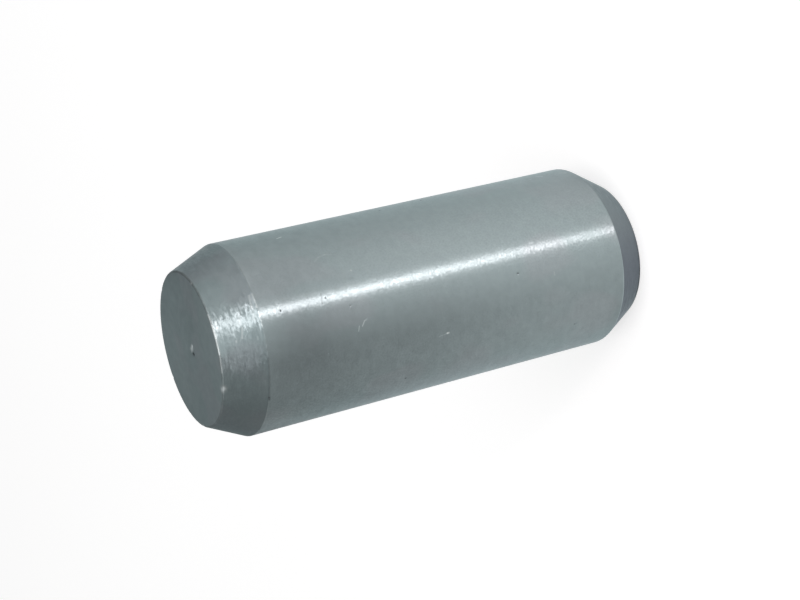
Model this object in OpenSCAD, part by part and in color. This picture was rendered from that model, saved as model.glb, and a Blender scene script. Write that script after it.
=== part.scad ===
// Parallel dowel pin, turned from one bar of steel and ground on its shank.
// Both ends have a lead-in chamfer, and every edge is broken by a small radius.
//
// Millimetres. The pin's axis is +Z and the lower end face lies on Z = 0.

/* [Shank] */

// Diameter of the ground shank, which is the size that fits the hole
shank_d = 12; // [8:0.5:24]

// Length from one end face to the other
pin_len = 30; // [14:1:100]

/* [Upper end] */

// Length of the upper chamfer, measured along the axis
upper_chamfer_len = 2.5; // [1:0.1:4]

// Depth of the upper chamfer, measured from the shank in towards the axis
upper_chamfer_depth = 1.15; // [0.25:0.05:2]

/* [Lower end] */

// Length of the lower chamfer, measured along the axis
lower_chamfer_len = 2.25; // [1:0.05:4]

// Depth of the lower chamfer, measured from the shank in towards the axis
lower_chamfer_depth = 1.35; // [0.25:0.05:2]

/* [Broken edges] */

// Edge radius where the shank runs into a chamfer
shoulder_r = 0.15; // [0.1:0.05:1]

// Edge radius where a chamfer runs into an end face
rim_r = 0.15; // [0.05:0.05:0.5]

/* [Hidden] */

$fn = 128;

shank_r = shank_d / 2;
mid_height = pin_len / 2;

// Colour of the bare steel, which is a greenish grey
steel = [0.54, 0.59, 0.60];

// How far the disc behind an arc stands proud, so that it crosses its edges cleanly
arc_overlap = 0.0001;

// How far a cutter reaches past its arc, in arc radii from the arc's centre
cutter_reach = 2;

// A length laid off in a direction, as a point of the section
function polar(length, angle) = length * [cos(angle), sin(angle)];

// What the arc of an edge takes off a sharp corner. The corner's two sides leave it
// at start_angle and end_angle, anticlockwise from one to the other through the steel.
module edge_cutter(corner, start_angle, end_angle, r) {
    half_angle = (end_angle - start_angle) / 2;
    arc_centre = corner + polar(r / sin(half_angle), start_angle + half_angle);
    from_centre = [
        [0, 0],
        polar(r, start_angle - 90),
        corner - arc_centre,
        polar(r, end_angle + 90),
    ];
    translate(arc_centre) difference() {
        polygon(cutter_reach * from_centre);
        circle(r = r + arc_overlap);
    }
}

// Half section of one end, drawn from its face at height 0 up to the middle of the pin
module end_section(chamfer_len, chamfer_depth) {
    rim = [shank_r - chamfer_depth, 0];
    shoulder = [shank_r, chamfer_len];
    slope_angle = atan(chamfer_len / chamfer_depth);
    difference() {
        polygon([[0, 0], rim, shoulder, [shank_r, mid_height], [0, mid_height]]);
        edge_cutter(rim, slope_angle, 180, rim_r);
        edge_cutter(shoulder, 90, 180 + slope_angle, shoulder_r);
    }
}

// Half of the pin's long section: both ends, back to back
module long_section() {
    end_section(lower_chamfer_len, lower_chamfer_depth);
    translate([0, pin_len]) mirror([0, 1]) end_section(upper_chamfer_len, upper_chamfer_depth);
}

module dowel_pin() {
    color(steel) rotate_extrude() long_section();
}

dowel_pin();
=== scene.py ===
"""Dressed model of a dowel pin: ground steel, standing on its lower end in a plain studio.

Metres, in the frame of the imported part. The pin's axis is +Z and it stands on Z = 0.
Azimuths are in degrees round the pin, from -Y, where the camera stands, towards +X.
"""

import math
import random

import bmesh
import bpy
import numpy as np
from mathutils import Matrix, Vector


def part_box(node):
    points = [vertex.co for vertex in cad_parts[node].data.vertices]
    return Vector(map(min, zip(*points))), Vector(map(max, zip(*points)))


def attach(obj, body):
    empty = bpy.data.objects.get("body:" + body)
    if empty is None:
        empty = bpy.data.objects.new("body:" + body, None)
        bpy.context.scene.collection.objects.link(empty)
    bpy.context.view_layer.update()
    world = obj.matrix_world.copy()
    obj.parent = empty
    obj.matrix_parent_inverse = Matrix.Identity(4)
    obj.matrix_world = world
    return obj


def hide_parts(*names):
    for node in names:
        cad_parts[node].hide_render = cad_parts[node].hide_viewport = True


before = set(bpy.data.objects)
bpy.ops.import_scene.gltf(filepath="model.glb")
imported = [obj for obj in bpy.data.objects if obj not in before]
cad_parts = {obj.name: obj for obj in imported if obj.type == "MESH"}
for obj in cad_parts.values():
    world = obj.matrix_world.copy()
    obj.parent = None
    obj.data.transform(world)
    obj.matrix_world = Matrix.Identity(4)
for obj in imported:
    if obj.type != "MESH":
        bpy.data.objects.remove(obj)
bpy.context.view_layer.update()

MM = 0.001

# ---------------------------------------------------------------- the pin's sizes

pin_low, pin_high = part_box("dowel_pin")
SHANK_R = (pin_high.x - pin_low.x) / 2
PIN_LEN = pin_high.z - pin_low.z
PIN_CENTRE = Vector((0, 0, PIN_LEN / 2))

# The section's own values, as in part.scad
UPPER_CHAMFER_LEN = 2.5 * MM
UPPER_CHAMFER_DEPTH = 1.15 * MM
LOWER_CHAMFER_LEN = 2.25 * MM
LOWER_CHAMFER_DEPTH = 1.35 * MM
SHOULDER_R = 0.15 * MM
RIM_R = 0.15 * MM

# The upper chamfer was ground a little askew: its shoulder lies this much lower on one side
SKEW = 0.167 * MM
SKEW_AZIMUTH = 65
# How far down the shank the skew fades out
SKEW_FADE = 2.0 * MM

# The lower chamfer was cut a little off centre: its rim lies this far to one side
RIM_SHIFT = 0.10 * MM
RIM_SHIFT_AZIMUTH = -45

# ---------------------------------------------------------------- camera

CAMERA_DISTANCE = 107.84 * MM
CAMERA_ELEVATION = 26.06
CAMERA_ROLL = 103.72
# Lens and film, in millimetres of their own
CAMERA_LENS = 75.44
CAMERA_FILM = 36.0
CAMERA_NEAR = 5 * MM
CAMERA_FAR = 10.0
# The camera aims a little off the pin's middle
CAMERA_AIM = PIN_CENTRE + Vector((-0.099, 0, 0.530)) * MM

# ---------------------------------------------------------------- studio

# Lamps are windows of the surroundings seen from the pin's middle, in degrees: the azimuth
# of the window's middle, its width, the elevations of its low and high sides, and how far it
# leans. A radiance of 1 is white.
LAMPS = {
    "key_strip": dict(azimuth=19.4, width=5.6, low=-2, high=20, distance=0.11, lean=-6,
                      radiance=27.8, colour=(1.0, 0.885, 0.89)),
    "kicker": dict(azimuth=22, width=18.0, low=28, high=38, distance=0.20, lean=0,
                   radiance=3.0, colour=(1.0, 0.93, 0.94)),
    "overhead": dict(azimuth=0, width=44.0, low=52, high=84, distance=0.60, lean=0,
                     radiance=2.1, colour=(1.0, 1.0, 1.0)),
}
# Curved softboxes round the pin, brightest at one azimuth and fading both ways
GLOW_CARDS = {
    "light_wall": dict(start=-30, end=165, bottom=0, top=95 * MM, peak=24, radiance=2.75),
    "front_card": dict(start=-115, end=40, bottom=170 * MM, top=460 * MM, peak=-12,
                       radiance=0.45),
}
GLOW_DISTANCE = 350 * MM
# Grey cards close to the pin, which only its reflections see. Each is feathered towards the
# camera, and its soft edge climbs from one height to another between two azimuths.
FLAGS = {
    "left_flag": dict(start=-4, end=-178, bottom=10 * MM, top=90 * MM, feather=45, opacity=0.7,
                      climb=(-60, -110), edges=(34 * MM, 45 * MM)),
    "right_flag": dict(start=60, end=165, bottom=35 * MM, top=120 * MM, feather=75, opacity=0.8,
                       climb=(50, 60), edges=(110 * MM, 110 * MM)),
}
FLAG_DISTANCE = 55 * MM
FLAG_GREY = 0.1
FLAG_SOFT = 12 * MM
# Degrees from one post of a curved card to the next
ARC_STEP = 4
# The world is palest at the horizon and darker above, down to its top shade where the
# direction's z is this
WORLD_HORIZON = 0.90
WORLD_TOP = 0.50
WORLD_TOP_HEIGHT = 0.6
# The floor is white by its own colour and by a glow that only seen rays meet
FLOOR_WHITE = 0.5
FLOOR_GLOW = 0.64
FLOOR_HALF = 3.0


def direction(azimuth, elevation):
    """Unit vector from the pin towards an azimuth and an elevation, in degrees."""
    a, e = math.radians(azimuth), math.radians(elevation)
    return Vector((math.sin(a) * math.cos(e), -math.cos(a) * math.cos(e), math.sin(e)))


def aimed(location, target, roll):
    """Matrix of an object at location whose -Z points at target, turned by roll degrees."""
    turn = (target - location).to_track_quat("-Z", "Y").to_matrix().to_4x4()
    return Matrix.Translation(location) @ turn @ Matrix.Rotation(math.radians(roll), 4, "Z")


def linked(name, data):
    """New object of the scene that holds data."""
    thing = bpy.data.objects.new(name, data)
    bpy.context.scene.collection.objects.link(thing)
    return thing


# ---------------------------------------------------------------- node helpers


def put(tree, socket, value):
    """Feeds a node's input with a number, a vector, a colour or another node's output."""
    if isinstance(value, bpy.types.NodeSocket):
        tree.links.new(value, socket)
    elif value is not None:
        socket.default_value = value


def math_node(tree, operation, a, b):
    """One operation on two numbers."""
    node = tree.nodes.new("ShaderNodeMath")
    node.operation = operation
    put(tree, node.inputs[0], a)
    put(tree, node.inputs[1], b)
    return node.outputs[0]


def product(tree, first, *others):
    """All the factors multiplied."""
    for other in others:
        first = math_node(tree, "MULTIPLY", first, other)
    return first


def vector_node(tree, operation, a, b=None):
    """One operation on a vector. b is a number to scale it by, or else a second vector."""
    node = tree.nodes.new("ShaderNodeVectorMath")
    node.operation = operation
    put(tree, node.inputs[0], a)
    put(tree, node.inputs["Scale" if operation == "SCALE" else 1], b)
    return node.outputs[0]


def ramp(tree, value, start, end, low=0.0, high=1.0, smooth=True):
    """Value mapped from start..end to low..high, and held beyond them."""
    node = tree.nodes.new("ShaderNodeMapRange")
    node.interpolation_type = "SMOOTHSTEP" if smooth else "LINEAR"
    put(tree, node.inputs["Value"], value)
    put(tree, node.inputs["From Min"], start)
    put(tree, node.inputs["From Max"], end)
    put(tree, node.inputs["To Min"], low)
    put(tree, node.inputs["To Max"], high)
    return node.outputs["Result"]


def split(tree, vector):
    """A vector's x, y and z."""
    node = tree.nodes.new("ShaderNodeSeparateXYZ")
    put(tree, node.inputs[0], vector)
    return node.outputs[0], node.outputs[1], node.outputs[2]


def join(tree, x, y, z):
    """The vector of x, y and z."""
    node = tree.nodes.new("ShaderNodeCombineXYZ")
    for socket, value in zip(node.inputs, (x, y, z)):
        put(tree, socket, value)
    return node.outputs[0]


def position(tree):
    """x, y and z of the shaded point, in metres."""
    return split(tree, tree.nodes.new("ShaderNodeNewGeometry").outputs["Position"])


def mix_colour(tree, factor, a, b):
    """Colour a at factor 0 and colour b at factor 1."""
    node = tree.nodes.new("ShaderNodeMix")
    node.data_type = "RGBA"
    put(tree, node.inputs["Factor"], factor)
    put(tree, node.inputs["A"], a if isinstance(a, bpy.types.NodeSocket) else (*a, 1))
    put(tree, node.inputs["B"], b if isinstance(b, bpy.types.NodeSocket) else (*b, 1))
    return node.outputs["Result"]


def add_shaders(tree, a, b):
    """Light of both shaders together."""
    node = tree.nodes.new("ShaderNodeAddShader")
    put(tree, node.inputs[0], a)
    put(tree, node.inputs[1], b)
    return node.outputs[0]


def noise(tree, vector, detail):
    """Smooth noise from 0 to 1, with about one feature to a unit of the vector."""
    node = tree.nodes.new("ShaderNodeTexNoise")
    put(tree, node.inputs["Vector"], vector)
    node.inputs["Scale"].default_value = 1.0
    node.inputs["Detail"].default_value = detail
    return node.outputs["Fac"]


def new_material(name):
    """Empty node material: returns it with its tree and its output's surface socket."""
    material = bpy.data.materials.new(name)
    material.use_nodes = True
    tree = material.node_tree
    tree.nodes.clear()
    out = tree.nodes.new("ShaderNodeOutputMaterial")
    return material, tree, out.inputs["Surface"]


# ---------------------------------------------------------------- camera and studio


def make_camera():
    """The photo's camera, rolled so that the pin lies almost level in the picture."""
    lens = bpy.data.cameras.new("camera")
    lens.lens = CAMERA_LENS
    lens.sensor_width = CAMERA_FILM
    lens.clip_start = CAMERA_NEAR
    lens.clip_end = CAMERA_FAR
    camera = linked("camera", lens)
    place = PIN_CENTRE + direction(0, CAMERA_ELEVATION) * CAMERA_DISTANCE
    camera.matrix_world = aimed(place, CAMERA_AIM, -CAMERA_ROLL)
    bpy.context.scene.camera = camera


def make_lamp(name, azimuth, width, low, high, distance, lean, radiance, colour):
    """Rectangular softbox that fills a window of the surroundings."""
    lamp = bpy.data.lights.new(name, "AREA")
    lamp.shape = "RECTANGLE"
    lamp.size = 2 * distance * math.tan(math.radians(width / 2))
    lamp.size_y = 2 * distance * math.tan(math.radians((high - low) / 2))
    lamp.energy = radiance * math.pi * lamp.size * lamp.size_y
    lamp.color = colour
    box = linked(name, lamp)
    place = PIN_CENTRE + direction(azimuth, (low + high) / 2) * distance
    box.matrix_world = aimed(place, PIN_CENTRE, lean)
    box.visible_camera = False


def make_arc(name, start, end, distance, bottom, top):
    """Upright card that stands in an arc round the pin, unseen by the camera."""
    mesh = bpy.data.meshes.new(name)
    bm = bmesh.new()
    steps = round(abs(end - start) / ARC_STEP)
    posts = []
    for i in range(steps + 1):
        foot = direction(start + (end - start) * i / steps, 0) * distance
        posts.append([bm.verts.new(foot + Vector((0, 0, height))) for height in (bottom, top)])
    for left, right in zip(posts, posts[1:]):
        bm.faces.new((left[0], right[0], right[1], left[1]))
    bm.to_mesh(mesh)
    bm.free()
    card = linked(name, mesh)
    card.visible_camera = False
    card.visible_shadow = False
    return card


def azimuth_ramp(tree, start, end, low=0.0, high=1.0):
    """Rises smoothly from low to high between two azimuths round the pin."""
    x, y, _ = position(tree)
    angle = math_node(tree, "ARCTAN2", x, product(tree, y, -1.0))
    return ramp(tree, angle, math.radians(start), math.radians(end), low, high)


def make_glow_card(name, start, end, bottom, top, peak, radiance):
    """Softbox whose glow fades to clear at both ends, so it only ever adds light."""
    card = make_arc(name, start, end, GLOW_DISTANCE, bottom, top)
    material, tree, surface = new_material(name)
    rise = azimuth_ramp(tree, start, peak)
    fall = azimuth_ramp(tree, end, peak)
    glow = tree.nodes.new("ShaderNodeEmission")
    put(tree, glow.inputs["Strength"], product(tree, rise, fall, radiance))
    clear = tree.nodes.new("ShaderNodeBsdfTransparent")
    put(tree, surface, add_shaders(tree, glow.outputs[0], clear.outputs[0]))
    card.data.materials.append(material)


def make_flag(name, start, end, bottom, top, feather, opacity, climb, edges):
    """Grey card that darkens part of what the pin reflects, and fades to clear at its edges."""
    flag = make_arc(name, start, end, FLAG_DISTANCE, bottom, top)
    material, tree, surface = new_material(name)
    card = tree.nodes.new("ShaderNodeBsdfDiffuse")
    card.inputs["Color"].default_value = (FLAG_GREY, FLAG_GREY, FLAG_GREY, 1)
    clear = tree.nodes.new("ShaderNodeBsdfTransparent")
    fade = azimuth_ramp(tree, start, start + math.copysign(feather, end - start))
    _, _, height = position(tree)
    above = math_node(tree, "SUBTRACT", height, azimuth_ramp(tree, *climb, *edges))
    solid = ramp(tree, above, FLAG_SOFT, -FLAG_SOFT, 0.0, opacity)
    mix = tree.nodes.new("ShaderNodeMixShader")
    put(tree, mix.inputs["Fac"], product(tree, fade, solid))
    put(tree, mix.inputs[1], clear.outputs[0])
    put(tree, mix.inputs[2], card.outputs[0])
    put(tree, surface, mix.outputs[0])
    flag.data.materials.append(material)
    flag.visible_diffuse = False


def make_world():
    """Plain surroundings, palest at the horizon."""
    world = bpy.data.worlds.new("studio")
    bpy.context.scene.world = world
    world.use_nodes = True
    tree = world.node_tree
    tree.nodes.clear()
    towards = tree.nodes.new("ShaderNodeTexCoord").outputs["Generated"]
    _, _, height = split(tree, towards)
    level = ramp(tree, height, 0.0, WORLD_TOP_HEIGHT, WORLD_HORIZON, WORLD_TOP, smooth=False)
    background = tree.nodes.new("ShaderNodeBackground")
    put(tree, background.inputs["Strength"], level)
    out = tree.nodes.new("ShaderNodeOutputWorld")
    put(tree, out.inputs["Surface"], background.outputs[0])


def make_floor_paper():
    """White paper that glows for the camera, mirrors and glass, and still takes a shadow."""
    material, tree, surface = new_material("white_floor")
    paper = tree.nodes.new("ShaderNodeBsdfDiffuse")
    paper.inputs["Color"].default_value = (FLOOR_WHITE, FLOOR_WHITE, FLOOR_WHITE, 1)
    path = tree.nodes.new("ShaderNodeLightPath")
    seen = path.outputs["Is Camera Ray"]
    for ray in ("Is Glossy Ray", "Is Transmission Ray"):
        seen = math_node(tree, "MAXIMUM", seen, path.outputs[ray])
    glow = tree.nodes.new("ShaderNodeEmission")
    put(tree, glow.inputs["Strength"], product(tree, seen, FLOOR_GLOW))
    put(tree, surface, add_shaders(tree, paper.outputs[0], glow.outputs[0]))
    return material


def make_floor():
    """Floor that the pin stands on."""
    mesh = bpy.data.meshes.new("floor")
    half = FLOOR_HALF
    corners = [(-half, -half, 0), (half, -half, 0), (half, half, 0), (-half, half, 0)]
    mesh.from_pydata(corners, [], [(0, 1, 2, 3)])
    floor = linked("floor", mesh)
    floor.data.materials.append(make_floor_paper())


# ---------------------------------------------------------------- the pin's section

# The section runs from the middle of the lower face, out and up, to the middle of the upper.
# A place on the pin is an azimuth and a run: the distance along the section.


def straight(start, end):
    """A straight stretch of the section: its length, and its point at a share t of it."""
    a, b = np.array(start), np.array(end)
    return float(np.linalg.norm(b - a)), lambda t: a[:, None] + (b - a)[:, None] * t


def rounded(before, corner, after, radius):
    """The arc that breaks a corner of the section: length, point at t, first and last point."""
    u, w = (np.array(p) - corner for p in (before, after))
    u, w = u / np.linalg.norm(u), w / np.linalg.norm(w)
    half = math.acos(float(u @ w)) / 2
    middle = (u + w) / np.linalg.norm(u + w)
    centre = np.array(corner) + middle * radius / math.sin(half)
    first = np.array(corner) + u * radius / math.tan(half)
    last = np.array(corner) + w * radius / math.tan(half)
    start = math.atan2(*(first - centre)[::-1])
    turn = math.pi - 2 * half

    def point(t):
        angle = start + turn * t
        return centre[:, None] + radius * np.array([np.cos(angle), np.sin(angle)])

    return radius * turn, point, first, last


def make_section():
    """Stretches of the section as (zone, length, point)."""
    corners = [
        (0.0, 0.0),
        (SHANK_R - LOWER_CHAMFER_DEPTH, 0.0),
        (SHANK_R, LOWER_CHAMFER_LEN),
        (SHANK_R, PIN_LEN - UPPER_CHAMFER_LEN),
        (SHANK_R - UPPER_CHAMFER_DEPTH, PIN_LEN),
        (0.0, PIN_LEN),
    ]
    corners = [np.array(c) for c in corners]
    zones = ["lower_face", "lower_chamfer", "shank", "upper_chamfer"]
    edges = ["lower_rim", "lower_shoulder", "upper_shoulder", "upper_rim"]
    radii = [RIM_R, SHOULDER_R, SHOULDER_R, RIM_R]
    stretches = []
    start = corners[0]
    for i, (zone, edge, radius) in enumerate(zip(zones, edges, radii)):
        length, point, first, last = rounded(*corners[i:i + 3], radius)
        stretches.append((zone, *straight(start, first)))
        stretches.append((edge, length, point))
        start = last
    stretches.append(("upper_face", *straight(start, corners[-1])))
    return stretches


SECTION = make_section()
STARTS = np.cumsum([0.0] + [length for _, length, _ in SECTION])
RUN_END = STARTS[-1]
ZONES = [zone for zone, _, _ in SECTION]
ZONE_START = {zone: STARTS[i] for i, zone in enumerate(ZONES)}
ZONE_LENGTH = {zone: length for zone, length, _ in SECTION}
# Least radius that a distance round the pin is measured at
LEAST_R = 0.05 * MM


def held(run):
    """Runs kept within the section."""
    return np.clip(run, 0, RUN_END)


def section_point(run):
    """Radius and height of the section at each run."""
    place = np.zeros((2, len(run)))
    for (_, length, point), start in zip(SECTION, STARTS):
        inside = (run >= start) & (run <= start + length)
        place[:, inside] = point((run[inside] - start) / length)
    return place


def zone_at(run):
    """Zone of the section that a run lies in."""
    following = int(np.searchsorted(STARTS, run, side="right"))
    return ZONES[min(following - 1, len(ZONES) - 1)]


def run_in(zone, share):
    """Run at a share of a zone's length."""
    return ZONE_START[zone] + share * ZONE_LENGTH[zone]


def turning_radius(run):
    """Radius at each run, but never so small that azimuths there can't be told apart."""
    return np.maximum(section_point(run)[0], LEAST_R)


def across_from(at, azimuth, radius):
    """Distance round the pin from one azimuth to each of the others, the short way."""
    return radius * np.radians((azimuth - at + 180) % 360 - 180)


# ---------------------------------------------------------------- marks of use, and painted light and shade

# Places, sizes and depths are given in millimetres here. A mark is a groove from one place
# to another, and a pit is one that stays at its place. Each has a half width, a depth, and
# a tone: 1 is bright, for worn metal and for painted highlights and glints, and -1 is dark,
# for dirt and for painted shade.

SHANK_FOOT = section_point(np.array([ZONE_START["shank"]]))[1][0]


def on_shank(azimuth, height):
    """Place on the shank at a height."""
    return azimuth, ZONE_START["shank"] + height * MM - SHANK_FOOT


def at(zone, azimuth, share):
    """Place at a share of a zone's length, counted the way the section runs."""
    return azimuth, run_in(zone, share)


def on_upper_face(azimuth, radius):
    """Place on the upper face at a radius."""
    return azimuth, RUN_END - radius * MM


def mark(start, end, width, depth, tone):
    """Groove from one place to another."""
    return (*start, *end, width * MM, depth * MM, tone)


def pit(place, width, depth, tone):
    """Mark that stays at its place."""
    return mark(place, place, width, depth, tone)


MARKS_AND_PAINTED_HIGHLIGHTS = [
    # Two short strokes below the highlight, toned bright as a painted glint off their walls
    mark(on_shank(-7.5, 21.0), on_shank(-10.3, 21.2), 0.036, 0.006, 0.50),
    mark(on_shank(-9.8, 21.4), on_shank(-12.6, 21.5), 0.034, 0.006, 0.45),
    # Bright dot with a tail
    mark(on_shank(-27.4, 15.4), on_shank(-27.4, 15.5), 0.055, 0.012, 0.9),
    mark(on_shank(-27.5, 15.5), on_shank(-28.3, 16.1), 0.025, 0.004, 0.22),
    # Dark pits
    pit(on_shank(-2.3, 10.05), 0.075, 0.020, -0.75),
    mark(on_shank(2.8, 21.7), on_shank(2.6, 21.7), 0.05, 0.010, -0.4),
    pit(on_shank(9.2, 26.1), 0.05, 0.015, -1.0),
    pit(on_shank(10.3, 23.1), 0.04, 0.010, -0.7),
    mark(on_shank(18.3, 21.1), on_shank(18.0, 21.0), 0.10, 0.003, -0.15),
    # Light specks
    pit(on_shank(-21.2, 23.6), 0.04, 0.008, 0.3),
    pit(on_shank(22.8, 20.9), 0.06, 0.006, 0.2),
    mark(on_shank(-6.6, 7.45), on_shank(-8.2, 7.45), 0.05, 0.006, 0.12),
    # Fine line round the pin, across the highlight
    mark(on_shank(13.4, 23.3), on_shank(7.1, 23.4), 0.025, 0.004, -0.5),
    # Faint arc above the highlight
    mark(on_shank(33.5, 22.85), on_shank(36.2, 22.5), 0.05, 0.001, 0.06),
    mark(on_shank(36.2, 22.5), on_shank(37.2, 22.0), 0.05, 0.001, 0.06),
    mark(on_shank(37.2, 22.0), on_shank(36.0, 21.6), 0.05, 0.001, 0.05),
    # Notch in the upper shoulder, and the dark line that leads to it
    mark(at("upper_shoulder", -40.0, 0.5), at("upper_shoulder", -41.5, 0.4), 0.07, 0.03, -0.5),
    mark(at("upper_shoulder", -15.0, 0.5), at("upper_shoulder", -40.0, 0.5), 0.05, 0.003, -0.35),
    # The same shoulder, with a painted highlight towards the camera
    mark(at("upper_shoulder", 10.0, 0.5), at("upper_shoulder", 2.0, 0.4), 0.05, 0.002, 0.20),
    # Bright strokes beside it, which run on above the highlight
    mark(at("upper_chamfer", 22.0, 0.07), at("upper_chamfer", 15.0, 0.10), 0.07, 0.002, 0.20),
    mark(at("upper_shoulder", 22.5, 0.9), at("upper_shoulder", 14.2, 0.6), 0.06, 0.002, 0.20),
    # The coarser tool marks of the upper chamfer: shallow grooves, toned bright as painted glints
    # where they flash in the highlight
    mark(at("upper_chamfer", 15.0, 0.10), at("upper_chamfer", 7.5, 0.12), 0.11, 0.002, 0.08),
    mark(at("upper_chamfer", 14.0, 0.41), at("upper_chamfer", 8.0, 0.45), 0.11, 0.002, 0.10),
    mark(at("upper_chamfer", 13.5, 0.93), at("upper_chamfer", 8.0, 0.93), 0.08, 0.002, 0.14),
    mark(at("upper_chamfer", 5.2, 0.42), at("upper_chamfer", -0.6, 0.47), 0.05, 0.002, 0.27),
    mark(at("upper_chamfer", -1.5, 0.61), at("upper_chamfer", -2.3, 0.61), 0.05, 0.002, 0.22),
    mark(at("upper_chamfer", -2.0, 0.14), at("upper_chamfer", -3.5, 0.14), 0.06, 0.002, 0.15),
    # Nicks in the upper rim: dents, toned bright as a painted glint in each
    mark(at("upper_rim", 51.4, 0.5), at("upper_rim", 51.4, 0.9), 0.06, 0.02, 0.35),
    mark(at("upper_rim", -33.0, 0.2), at("upper_rim", -35.5, 1.3), 0.15, 0.04, 0.8),
    # The upper rim, with a painted highlight towards the camera
    mark(at("upper_rim", 20.5, 0.5), at("upper_rim", 13.0, 0.5), 0.06, 0.004, 0.5),
    mark(at("upper_rim", 12.0, 0.4), at("upper_rim", 3.0, 0.4), 0.065, 0.004, 1.0),
    mark(at("upper_rim", 1.5, 0.5), at("upper_rim", -8.0, 0.4), 0.055, 0.004, 0.8),
    mark(at("upper_rim", -9.5, 0.5), at("upper_rim", -21.0, 0.5), 0.05, 0.004, 0.30),
    # What the lathe left near the middle of the upper face: small dents, with a painted highlight
    # on the upper strokes and painted shade in the pit below
    mark(on_upper_face(20.0, 0.50), on_upper_face(-30.0, 0.25), 0.11, 0.015, 0.55),
    mark(on_upper_face(15.0, 0.15), on_upper_face(20.0, 0.50), 0.10, 0.015, 0.50),
    mark(on_upper_face(-36.0, 0.45), on_upper_face(-36.0, 0.58), 0.12, 0.03, -1.0),
]


def painted_patch(place, around, along, tone):
    """Broad faint patch of painted light and shade: half width round the pin and along it, and
    tone, which paints shade below 0 and light above it.
    """
    return (*place, around * MM, along * MM, tone)


# Broad patches of painted light and shade on the steel's colour. Painted shade falls where the
# steel reflects dark surroundings: below the highlight, near the silhouettes, and as a dark line
# along the lower rim. Painted light falls in a few places, mostly round the highlights. On the
# upper face the patches paint a sheen, lighter and darker by direction.
PAINTED_LIGHT_AND_SHADE = [
    painted_patch(on_shank(-7, 25.3), 3.0, 2.7, -0.27),
    painted_patch(on_shank(-66, 26.5), 1.6, 2.2, 0.10),
    painted_patch(on_shank(-10, 20.0), 1.8, 7.0, -0.14),
    painted_patch(on_shank(-78, 5.0), 1.6, 5.0, -0.22),
    painted_patch(on_shank(24, 15.0), 1.6, 10.0, 0.045),
    painted_patch(on_shank(-25, 16.0), 2.4, 3.5, -0.05),
    painted_patch(at("lower_chamfer", -46, 0.0), 3.6, 0.19, -1.0),
    painted_patch(at("lower_chamfer", -45, 0.6), 1.3, 1.5, -0.28),
    painted_patch(at("lower_chamfer", 52, 0.6), 1.0, 1.5, -0.20),
    painted_patch(at("upper_chamfer", 2, 0.5), 4.2, 2.6, 0.08),
    painted_patch(at("upper_chamfer", -26, 0.08), 1.4, 0.5, 0.10),
    painted_patch(at("upper_chamfer", 88, 0.5), 2.0, 1.8, -0.40),
    painted_patch(at("upper_face", 225, 0.3), 1.5, 1.2, 0.05),
    painted_patch(at("upper_face", 135, 0.1), 1.5, 0.8, -0.08),
    painted_patch(at("upper_face", 90, 0.6), 1.2, 1.0, -0.08),
]

# Invented marks, in millimetres and degrees. They are kept off the middle of the side that
# the photo shows, but some of them still face its camera. Widths are half widths, and the
# depth of a pit or a nick is a share of its half width.
SCATTER_SEED = 7
SCATTER_HEIGHTS = (3, 27)
SCATTERED_PITS = 26
PIT_AZIMUTHS = (50, 320)
PIT_WIDTHS = (0.03, 0.08)
PIT_DEPTH = 0.25
PIT_TONES = (-1.0, -0.7, 0.6)
SCATTERED_STROKES = 12
STROKE_AZIMUTHS = (55, 315)
STROKE_TURNS = (-4, 4)
STROKE_RISES = (-0.5, 0.5)
STROKE_WIDTH = 0.03
STROKE_DEPTHS = (0.004, 0.01)
STROKE_TONE = 0.6
SCATTERED_NICKS = 8
NICK_RIMS = ("upper_rim", "lower_rim")
NICK_AZIMUTHS = (80, 300)
NICK_WIDTHS = (0.05, 0.1)
NICK_DEPTH = 0.4
NICK_TONE = 0.7


def scattered_pit(draw):
    """Dark or bright pit in the shank."""
    place = on_shank(draw.uniform(*PIT_AZIMUTHS), draw.uniform(*SCATTER_HEIGHTS))
    width = draw.uniform(*PIT_WIDTHS)
    return pit(place, width, width * PIT_DEPTH, draw.choice(PIT_TONES))


def scattered_stroke(draw):
    """Short bright scratch, in any direction."""
    azimuth, height = draw.uniform(*STROKE_AZIMUTHS), draw.uniform(*SCATTER_HEIGHTS)
    turn, rise = draw.uniform(*STROKE_TURNS), draw.uniform(*STROKE_RISES)
    start, end = on_shank(azimuth, height), on_shank(azimuth + turn, height + rise)
    return mark(start, end, STROKE_WIDTH, draw.uniform(*STROKE_DEPTHS), STROKE_TONE)


def scattered_nick(draw):
    """Bright nick in the rim of an end face."""
    rim, azimuth = draw.choice(NICK_RIMS), draw.uniform(*NICK_AZIMUTHS)
    width = draw.uniform(*NICK_WIDTHS)
    return pit(at(rim, azimuth, 0.5), width, width * NICK_DEPTH, NICK_TONE)


def scattered_marks():
    """Small invented marks, kept off the middle of the side that the photo shows."""
    draw = random.Random(SCATTER_SEED)
    pits = [scattered_pit(draw) for _ in range(SCATTERED_PITS)]
    strokes = [scattered_stroke(draw) for _ in range(SCATTERED_STROKES)]
    nicks = [scattered_nick(draw) for _ in range(SCATTERED_NICKS)]
    return pits + strokes + nicks


def mark_bowl(one, azimuth, run, radius):
    """How much of one mark each place has: 1 on its line, and 1/e a half width away."""
    azimuth0, run0, azimuth1, run1, width, _, _ = one
    across = across_from(azimuth0, azimuth, radius)
    along = run - run0
    reach = radius * math.radians(azimuth1 - azimuth0)
    rise = run1 - run0
    length2 = reach**2 + rise**2
    # Where the nearest point of its line lies, as a share of it: 0 for a pit, which has no length
    share = (across * reach + along * rise) / np.maximum(length2, 1e-18)
    share = np.clip(np.where(length2 > 0, share, 0), 0, 1)
    gap2 = (across - share * reach) ** 2 + (along - share * rise) ** 2
    return np.exp(-gap2 / width**2)


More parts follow.
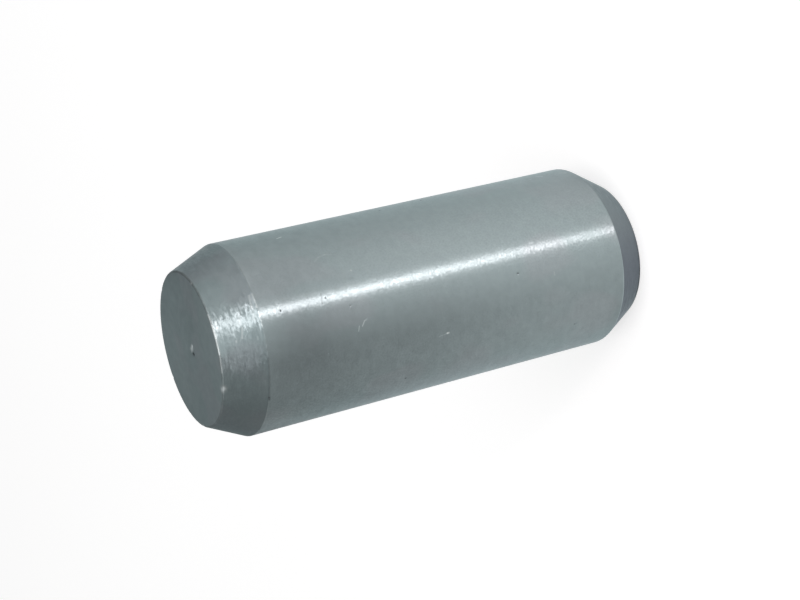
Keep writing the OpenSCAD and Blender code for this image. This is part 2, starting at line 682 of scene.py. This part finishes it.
def marks_at(marks, azimuth, run):
    """Depth and tone that the marks give each place of the surface."""
    depth, tone = np.zeros(len(run)), np.zeros(len(run))
    radius = turning_radius(run)
    for one in marks:
        *_, deep, shade = one
        bowl = mark_bowl(one, azimuth, run, radius)
        depth += deep * bowl
        tone += shade * bowl
    return depth, np.clip(tone, -1, 1)


def painted_patch_tone(azimuth, run):
    """Tone of painted light and shade that the patches give each place of the surface."""
    tone = np.zeros(len(run))
    radius = turning_radius(run)
    for middle, middle_run, around, along, shade in PAINTED_LIGHT_AND_SHADE:
        across = across_from(middle, azimuth, radius)
        tone += shade * np.exp(-((across / around) ** 2 + ((run - middle_run) / along) ** 2))
    return tone


# ---------------------------------------------------------------- the pin's mesh

COLUMNS = 240
# Longest step along the section in millimetres, by zone, and the steps of each broken edge
STEPS = dict(lower_face=0.4, upper_face=0.2, shank=0.25, lower_chamfer=0.10, upper_chamfer=0.12)
EDGE_STEPS = 4
# Round each mark the mesh is halved this often, each time within half the margin of the last
REFINE_LEVELS = 3
REFINE_MARGIN = 0.10 * MM
# A place within this many half widths of a mark's line counts as on it
MARK_REACH = 1.6
# Within this radius of the middle of a face the columns are narrow enough, so the mesh isn't
# halved. The upper face has this many closer rows there, and the gap before them is that
# much of the radius.
CROWDED_R = 0.9 * MM
CROWDED_ROWS = 22
CROWDED_GAP = 0.1
# Small steps that directions on the surface are measured over
SECTION_STEP = 0.5e-6
RUN_STEP = 1e-6
AZIMUTH_STEP = 0.01
# Vertices nearer than this are one: at the seam and in the middle of each face
WELD = 1e-7
# A step round the pin shorter than this is none: it starts in the middle of a face
POLE_STEP = 1e-9


def sunk_section(marks, azimuth, run):
    """Radius and height of the section at each place, sunk square to it by the marks."""
    radius, height = section_point(run)
    step = section_point(held(run + SECTION_STEP)) - section_point(held(run - SECTION_STEP))
    out, up = step[1], -step[0]
    size = np.hypot(out, up)
    depth, _ = marks_at(marks, azimuth, run)
    return radius - depth * out / size, height - depth * up / size


def surface_point(marks, azimuth, run):
    """Points of the marked surface, as rows of x, y and z."""
    radius, height = sunk_section(marks, azimuth, run)
    turn = np.radians(azimuth)
    shoulder = PIN_LEN - UPPER_CHAMFER_LEN
    share = np.interp(height, [shoulder - SKEW_FADE, shoulder, PIN_LEN], [0, 1, 0])
    height = height - SKEW * share * np.cos(turn - math.radians(SKEW_AZIMUTH))
    shift = RIM_SHIFT * np.interp(height, [0, LOWER_CHAMFER_LEN], [1, 0])
    side = direction(RIM_SHIFT_AZIMUTH, 0)
    x = radius * np.sin(turn) + shift * side.x
    y = -radius * np.cos(turn) + shift * side.y
    return np.stack([x, y, height], axis=1)


def surface_normals(marks, azimuth, run):
    """Unit normals of the marked surface."""
    left = surface_point(marks, azimuth - AZIMUTH_STEP, run)
    right = surface_point(marks, azimuth + AZIMUTH_STEP, run)
    below = surface_point(marks, azimuth, held(run - RUN_STEP))
    above = surface_point(marks, azimuth, held(run + RUN_STEP))
    normals = np.cross(right - left, above - below)
    poles = np.linalg.norm(right - left, axis=1) < POLE_STEP
    normals[poles] = [0, 0, 1]
    normals[poles & (run < RUN_END / 2)] = [0, 0, -1]
    return normals / np.linalg.norm(normals, axis=1)[:, None]


def section_rows():
    """Runs at which the mesh has a ring of vertices."""
    rows = [0.0]
    for zone, length, _ in SECTION:
        count = EDGE_STEPS if zone not in STEPS else math.ceil(length / (STEPS[zone] * MM))
        start = ZONE_START[zone]
        rows += [start + length * (i + 1) / count for i in range(count)]
    rows = [run for run in rows if run < RUN_END - (1 + CROWDED_GAP) * CROWDED_R]
    return rows + list(np.linspace(RUN_END - CROWDED_R, RUN_END, CROWDED_ROWS + 1))


def near_marks(marks, azimuth, run, margin):
    """Which places lie on a mark, or within a margin of it."""
    near = np.zeros(len(run), bool)
    radius = turning_radius(run)
    for azimuth0, run0, azimuth1, run1, width, _, _ in marks:
        fat = (azimuth0, run0, azimuth1, run1, MARK_REACH * width + margin, 1.0, 0.0)
        near |= mark_bowl(fat, azimuth, run, radius) > math.exp(-1)
    return near


def refine(bm, marks, margin):
    """Halves the faces of the sheet that lie on a mark or within a margin of it."""
    faces = list(bm.faces)
    centres = np.array([f.calc_center_median()[:2] for f in faces])
    azimuth, run = centres[:, 0], centres[:, 1] * MM
    wanted = near_marks(marks, azimuth, run, margin)
    wanted &= section_point(run)[0] > CROWDED_R
    # A dict keeps the edges in order, so each run of this script makes the same mesh
    edges = dict.fromkeys(e for f, near in zip(faces, wanted) if near for e in f.edges)
    bmesh.ops.subdivide_edges(bm, edges=list(edges), cuts=1, use_grid_fill=True)


def flat_sheet(marks):
    """The surface unrolled: x is the azimuth and y the run in millimetres. Finer at marks."""
    bm = bmesh.new()
    turn = 360 / COLUMNS
    grid = []
    for run in section_rows():
        grid.append([bm.verts.new((-180 + c * turn, run / MM, 0)) for c in range(COLUMNS + 1)])
    for low, high in zip(grid, grid[1:]):
        for c in range(COLUMNS):
            bm.faces.new((low[c], low[c + 1], high[c + 1], high[c]))
    for level in range(REFINE_LEVELS):
        refine(bm, marks, REFINE_MARGIN / 2**level)
    return bm


def assign_finishes(bm):
    """Gives each face of the flat sheet the finish of its zone."""
    finishes = [finish["name"] for finish in FINISHES]
    for f in bm.faces:
        zone = zone_at(f.calc_center_median().y * MM)
        f.material_index = finishes.index(FINISH_OF_ZONE[zone])
        f.smooth = True


def wrap(bm, marks):
    """Bends the flat sheet into the closed pin. Each vertex keeps its own normal and tone."""
    azimuth = np.array([v.co.x for v in bm.verts])
    run = held(np.array([v.co.y for v in bm.verts]) * MM)
    places = surface_point(marks, azimuth, run)
    normals = surface_normals(marks, azimuth, run)
    _, tone = marks_at(marks, azimuth, run)
    # The tone holds the marks' dirt, wear and painted highlights, and the patches' painted light
    # and shade
    tone = np.clip(tone + painted_patch_tone(azimuth, run), -1, 1)
    normal_layer = bm.verts.layers.float_vector.new("smooth_normal")
    tone_layer = bm.verts.layers.float.new("tone")
    for v, place, normal, shade in zip(bm.verts, places, normals, tone):
        v.co = place
        v[normal_layer] = normal
        v[tone_layer] = shade
    bmesh.ops.remove_doubles(bm, verts=list(bm.verts), dist=WELD)


def use_kept_normals(mesh):
    """Shades the mesh by the normals that wrap kept, and drops the layer they were in."""
    kept = np.zeros(len(mesh.vertices) * 3, np.float32)
    mesh.attributes["smooth_normal"].data.foreach_get("vector", kept)
    mesh.normals_split_custom_set_from_vertices(kept.reshape(-1, 3).tolist())
    mesh.attributes.remove(mesh.attributes["smooth_normal"])


def make_pin():
    """The pin: one closed surface with a finish for each zone."""
    marks = MARKS_AND_PAINTED_HIGHLIGHTS + scattered_marks()
    bm = flat_sheet(marks)
    assign_finishes(bm)
    wrap(bm, marks)
    mesh = bpy.data.meshes.new("pin_steel")
    bm.to_mesh(mesh)
    bm.free()
    use_kept_normals(mesh)
    pin = linked("pin_steel", mesh)
    for finish in FINISHES:
        mesh.materials.append(make_steel(**finish))
    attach(pin, "root")
    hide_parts("dowel_pin")
    triangles = sum(len(p.vertices) - 2 for p in mesh.polygons)
    print("pin faces", len(mesh.polygons), "triangles", triangles)


# ---------------------------------------------------------------- steel

STEEL = (0.257, 0.306, 0.313)
STEEL_PINK = (0.266, 0.304, 0.314)
TURNED = (0.250, 0.306, 0.315)
TURNED_PINK = (0.262, 0.303, 0.317)
# The lower chamfer's colours are dark: painted shade, for the dark floor close under the pin that
# it reflects, with a bluish tint
DARK_BLUE_PAINTED_SHADE = (0.172, 0.198, 0.208)
DARK_PINK_PAINTED_SHADE = (0.172, 0.190, 0.220)
# The pinker colour that each strays to
PINKER = {STEEL: STEEL_PINK, TURNED: TURNED_PINK, DARK_BLUE_PAINTED_SHADE: DARK_PINK_PAINTED_SHADE}
# Colours that the tone mixes in: dark for dirt and painted shade, bright for worn metal and
# painted highlights
DIRT_AND_PAINTED_SHADE = (0.05, 0.055, 0.06)
BRIGHT_WEAR_AND_PAINTED_LIGHT = (0.75, 0.8, 0.8)
# Tint of a grazing view, where a finish has none of its own
GRAZING = (0.85, 0.95, 0.97)

# Painted light: each finish's colour is made a little lighter low down and darker high up, for
# how the light falls along the pin: heights in millimetres, and shades there
FADE_HEIGHTS = (6.0, 27.0)
PAINTED_FADE_SHADES = (1.05, 0.93)
# The wheel cut a little coarser high up: factors on the roughness at the same heights
COARSENESS = (0.92, 1.08)

# Painted light and shade by side: x in millimetres at which the -X and the +X side have their own
# painted shade in full
PAINTED_SIDES_AT = (-4.0, 4.0)
# x in millimetres from which a steel with a pink side turns pinker, and where it is pinkest
PINK_SIDE = (3.0, -3.0)

# Noises as (features a millimetre round the pin, features a millimetre along it, detail)
PATCH_NOISE = (0.3, 0.2, 1.0)
BLOTCH_NOISE = (2.0, 2.0, 3.0)
STREAK_NOISE = (0.3, 6.0, 3.0)
ROUGH_NOISE = (1.0, 3.0, 2.0)
TILT_DETAIL = 1.0
# Values of a noise between which it has its whole effect
NOISE_RANGE = (0.3, 0.7)
PATCH_RANGE = (0.5, 0.62)
# Share by which the roughness strays
ROUGH_STRAY = 0.05
# A quarter turn of the grain, which draws the highlight out along the pin
GRAIN_TURN = 0.25

# What make_steel takes for each finish. shade is a factor on the colour, and sides are more
# such factors, for the pin's -X and +X sides: painted light and shade, each side made lighter
# or darker for how the light falls there. mottle and streak are how far the colour
# strays, in blotches and in lines round the pin. waves rock the normal round the pin and
# nods rock it along the pin, so that the steel glitters. Each is a list of noises, as
# (tilt, features a millimetre round the pin, features a millimetre along it). calm is a
# factor on both at the upper of the fade heights. edge is the tint of a grazing view.
FINISHES = [
    dict(name="ground_steel", colour=STEEL, shade=0.985, mottle=0.025, streak=0.004,
         roughness=0.35, anisotropic=1.0, waves=[(0.045, 8.0, 9.0)],
         nods=[(0.23, 8.0, 8.0)], calm=0.9),
    dict(name="turned_steel", colour=TURNED, shade=0.97, mottle=0.02, streak=0.01,
         roughness=0.422, anisotropic=0.93, waves=[(0.14, 1.5, 8.0), (0.13, 5.0, 9.0)],
         nods=[(0.12, 6.0, 8.5)], sides=(1.0, 1.09)),
    dict(name="faced_steel", colour=TURNED, shade=1.01, mottle=0.04, streak=0.01,
         roughness=0.42, anisotropic=0.3, waves=[(0.10, 3.0, 3.0)], edge=(0.86, 0.95, 0.97)),
    dict(name="shoulder_edge", colour=STEEL, shade=1.0, mottle=0.05, streak=0.0,
         roughness=0.36, anisotropic=0.9, waves=[(0.2, 4.0, 4.0)], sides=(1.15, 0.85)),
    dict(name="rim_edge", colour=STEEL, shade=1.05, mottle=0.1, streak=0.0,
         roughness=0.50, anisotropic=0.0, waves=[(0.3, 3.0, 3.0)], sides=(0.8, 0.9)),
    # The lower rim's finish paints a dark line of shade along it, with a dark colour and a dark
    # grazing tint
    dict(name="painted_dark_rim", colour=STEEL, shade=0.25, mottle=0.1, streak=0.0,
         roughness=0.50, anisotropic=0.0, waves=[(0.2, 3.0, 3.0)], edge=(0.2, 0.22, 0.24)),
    # The lower chamfer's darker colour is painted shade
    dict(name="blue_steel_painted_shade", colour=DARK_BLUE_PAINTED_SHADE, shade=1.09, mottle=0.03, streak=0.01,
         roughness=0.435, anisotropic=0.7, waves=[(0.3, 2.0, 7.0)], sides=(0.62, 0.88),
         pink_side=True),
]
FINISH_OF_ZONE = {
    "lower_face": "faced_steel",
    "lower_rim": "painted_dark_rim",
    "lower_chamfer": "blue_steel_painted_shade",
    "lower_shoulder": "shoulder_edge",
    "shank": "ground_steel",
    "upper_shoulder": "shoulder_edge",
    "upper_chamfer": "turned_steel",
    "upper_rim": "rim_edge",
    "upper_face": "faced_steel",
}


def millimetres(tree):
    """x, y and z of the shaded point in the pin's own frame, in millimetres."""
    place = tree.nodes.new("ShaderNodeTexCoord").outputs["Object"]
    return [math_node(tree, "DIVIDE", part, MM) for part in split(tree, place)]


def field(tree, place, around, along, detail):
    """Noise with so many features a millimetre round the pin and along it."""
    x, y, z = place
    x, y, z = product(tree, x, around), product(tree, y, around), product(tree, z, along)
    return noise(tree, join(tree, x, y, z), detail)


def stray(tree, place, kind, middle, share):
    """A number that strays by a share to both sides of its middle, by a kind of noise."""
    low, high = middle * (1 - share), middle * (1 + share)
    return ramp(tree, field(tree, place, *kind), *NOISE_RANGE, low, high)


def by_height(tree, z, low, high):
    """From low to high between the fade heights."""
    return ramp(tree, z, *FADE_HEIGHTS, low, high, smooth=False)


def swing(tree, place, noises):
    """Sum of noises that each swing from -tilt to tilt."""
    total = None
    for tilt, around, along in noises:
        one = field(tree, place, around, along, TILT_DETAIL)
        one = ramp(tree, one, 0.0, 1.0, -tilt, tilt, smooth=False)
        total = one if total is None else math_node(tree, "ADD", total, one)
    return total


def tilted_normal(tree, place, waves, nods, calm):
    """The surface's normal, rocked round the pin by the waves and along it by the nods."""
    up = (0, 0, 1)
    normal = tree.nodes.new("ShaderNodeNewGeometry").outputs["Normal"]
    sideways = vector_node(tree, "CROSS_PRODUCT", up, normal)
    quiet = by_height(tree, place[2], 1.0, calm)
    for noises, axis in ((waves, sideways), (nods, up)):
        if noises:
            tilt = product(tree, swing(tree, place, noises), quiet)
            lean = vector_node(tree, "SCALE", axis, tilt)
            normal = vector_node(tree, "ADD", normal, lean)
    return vector_node(tree, "NORMALIZE", normal)


def toned(tree, paint):
    """Paint with the tone of the marks and patches: dirt and bright worn metal, painted shade and
    painted highlights.
    """
    tone = tree.nodes.new("ShaderNodeAttribute")
    tone.attribute_name = "tone"
    dirt_and_shade = ramp(tree, tone.outputs["Fac"], 0.0, -1.0, smooth=False)
    bright = ramp(tree, tone.outputs["Fac"], 0.0, 1.0, smooth=False)
    return mix_colour(tree, bright, mix_colour(tree, dirt_and_shade, paint, DIRT_AND_PAINTED_SHADE), BRIGHT_WEAR_AND_PAINTED_LIGHT)


def steel_paint(tree, place, colour, shade, mottle, streak, sides, pink_side):
    """Colour of the steel, pinker in patches or on its pink side, with its shade and marks, and
    with painted light and shade by height and by side.
    """
    x, _, z = place
    if pink_side:
        pinkness = ramp(tree, x, *PINK_SIDE)
    else:
        pinkness = ramp(tree, field(tree, place, *PATCH_NOISE), *PATCH_RANGE)
    hue = mix_colour(tree, pinkness, colour, PINKER[colour])
    level = product(
        tree,
        stray(tree, place, BLOTCH_NOISE, 1, mottle),
        stray(tree, place, STREAK_NOISE, 1, streak),
        shade,
        by_height(tree, z, *PAINTED_FADE_SHADES),
        ramp(tree, x, *PAINTED_SIDES_AT, *sides),
    )
    return toned(tree, vector_node(tree, "SCALE", hue, level))


def make_steel(name, colour, shade, mottle, streak, roughness, anisotropic, waves, nods=(),
               calm=1.0, sides=(1, 1), edge=GRAZING, pink_side=False):
    """Machined steel: its tool marks run round the pin, so it gleams along the pin's length."""
    material, tree, surface = new_material(name)
    place = millimetres(tree)
    tangent = tree.nodes.new("ShaderNodeTangent")
    tangent.direction_type = "RADIAL"
    tangent.axis = "Z"
    paint = steel_paint(tree, place, colour, shade, mottle, streak, sides, pink_side)
    rough = stray(tree, place, ROUGH_NOISE, roughness, ROUGH_STRAY)
    coarse = by_height(tree, place[2], *COARSENESS)
    shader = tree.nodes.new("ShaderNodeBsdfPrincipled")
    put(tree, shader.inputs["Base Color"], paint)
    put(tree, shader.inputs["Roughness"], product(tree, rough, coarse))
    shader.inputs["Metallic"].default_value = 1.0
    shader.inputs["Specular Tint"].default_value = (*edge, 1)
    shader.inputs["Anisotropic"].default_value = anisotropic
    shader.inputs["Anisotropic Rotation"].default_value = GRAIN_TURN
    put(tree, shader.inputs["Tangent"], tangent.outputs[0])
    put(tree, shader.inputs["Normal"], tilted_normal(tree, place, waves, nods, calm))
    put(tree, surface, shader.outputs[0])
    return material


bpy.context.scene.view_settings.view_transform = "Standard"
make_camera()
make_world()
for lamp_name, window in LAMPS.items():
    make_lamp(lamp_name, **window)
for card_name, card in GLOW_CARDS.items():
    make_glow_card(card_name, **card)
for flag_name, flag in FLAGS.items():
    make_flag(flag_name, **flag)
make_floor()
make_pin()
